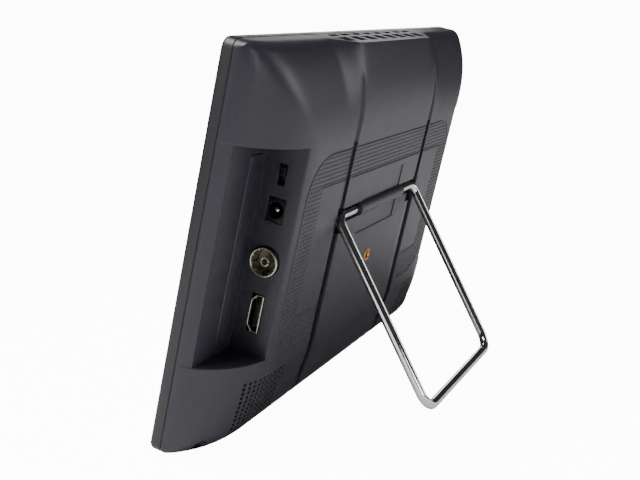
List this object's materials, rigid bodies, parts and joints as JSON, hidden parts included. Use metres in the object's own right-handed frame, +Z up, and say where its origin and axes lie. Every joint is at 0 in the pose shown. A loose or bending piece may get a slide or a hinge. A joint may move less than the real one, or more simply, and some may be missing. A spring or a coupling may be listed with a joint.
{
  "type": "digital photo frame",
  "caption": "Leaning flat screen picture frame with a pillow-shaped back, side bays for plugs, sound grilles, cooling slots and a folding chrome wire stand.",
  "frame": {"origin": "centre of the footprint, on the surface the device stands on", "axes": "+X across the screen, towards the bay with the power and picture sockets; -Y the way the screen faces; +Z up. The case leans back by 16.3 degrees."},
  "size_m": [0.229, 0.0838, 0.1476],
  "materials": {
    "case_plastic": "fine moulded satin, dark violet grey",
    "bezel_plastic": "satin",
    "screen_black": "anti-glare black",
    "diffuser_white": "matt white",
    "pressed_steel": "brushed",
    "chrome_wire": "bright plated",
    "black_foam": "open foam",
    "screw_steel": "zinc plated",
    "screw_black": "blackened",
    "board_green": "solder mask",
    "can_tin": "tinned",
    "chip_black": "moulded epoxy",
    "heatsink_alloy": "extruded",
    "can_sleeve": "shrink sleeve",
    "ferrite": "sintered",
    "ribbon_film": "polyimide film",
    "cell_wrap": "shrink wrap",
    "nylon_white": "moulded nylon",
    "nickel": "nickel plated",
    "insulator_cream": "moulded",
    "socket_black": "moulded",
    "key_plastic": "satin",
    "cone_paper": "treated paper",
    "lens_dark": "tinted",
    "lens_clear": "clear",
    "brass": "turned"
  },
  "bodies": {
    "case": {"front_bezel": "bezel_plastic", "rear_cover": "case_plastic", "display_glass": "screen_black", "light_guide": "diffuser_white", "backlight_tray": "pressed_steel", "screen_gasket": "black_foam", "panel_bracket_left": "pressed_steel", "panel_bracket_right": "pressed_steel", "bracket_screws": "screw_steel", "main_board": "board_green", "board_screws": "screw_steel", "tuner_can": "can_tin", "processor": "chip_black", "heat_spreader": "heatsink_alloy", "capacitors": "can_sleeve", "inductors": "ferrite", "display_ribbon": "ribbon_film", "battery_pack": "cell_wrap", "battery_connector": "nylon_white", "aerial_shell": "nickel", "aerial_insulator": "insulator_cream", "aerial_contact": "nickel", "hdmi_shell": "nickel", "hdmi_tongue": "socket_black", "dc_jack_body": "socket_black", "dc_jack_pin": "screw_steel", "power_switch_body": "socket_black", "usb_shell": "nickel", "usb_tongue": "socket_black", "headphone_jack": "socket_black", "card_socket": "can_tin", "key_board": "board_green", "key_switches": "chip_black", "infrared_receiver": "chip_black", "infrared_lens": "lens_dark", "status_light": "lens_clear", "status_lens": "lens_clear", "threaded_insert": "brass", "hinge_clamp": "pressed_steel", "hinge_screws": "screw_steel", "case_screws": "screw_black", "speaker_basket_left": "chip_black", "speaker_cone_left": "cone_paper", "speaker_magnet_left": "ferrite", "speaker_gasket_left": "black_foam", "speaker_basket_right": "chip_black", "speaker_cone_right": "cone_paper", "speaker_magnet_right": "ferrite", "speaker_gasket_right": "black_foam"},
    "stand": {"wire_stand": "chrome_wire"},
    "power_switch": {"power_switch_knob": "socket_black"},
    "key_1_cap": {"key_1": "key_plastic"},
    "key_2_cap": {"key_2": "key_plastic"},
    "key_3_cap": {"key_3": "key_plastic"},
    "key_4_cap": {"key_4": "key_plastic"},
    "key_5_cap": {"key_5": "key_plastic"}
  },
  "joints": [
    {"name": "stand_fold", "type": "hinge", "parent": "case", "child": "stand", "pos_m": [0, 0.00621, 0.07691], "axis": [1, 0, 0], "range_deg": [-40.5, 0]},
    {"name": "power_slide", "type": "slide", "parent": "case", "child": "power_switch", "axis": [0, 0.2807, 0.9598], "range_m": [-0.0032, 0]},
    {"name": "key_1_press", "type": "slide", "parent": "case", "child": "key_1_cap", "axis": [1, 0, 0], "range_m": [0, 0.0005], "stiffness_N_per_m": 2000},
    {"name": "key_2_press", "type": "slide", "parent": "case", "child": "key_2_cap", "axis": [1, 0, 0], "range_m": [0, 0.0005], "stiffness_N_per_m": 2000},
    {"name": "key_3_press", "type": "slide", "parent": "case", "child": "key_3_cap", "axis": [1, 0, 0], "range_m": [0, 0.0005], "stiffness_N_per_m": 2000},
    {"name": "key_4_press", "type": "slide", "parent": "case", "child": "key_4_cap", "axis": [1, 0, 0], "range_m": [0, 0.0005], "stiffness_N_per_m": 2000},
    {"name": "key_5_press", "type": "slide", "parent": "case", "child": "key_5_cap", "axis": [1, 0, 0], "range_m": [0, 0.0005], "stiffness_N_per_m": 2000}
  ]
}
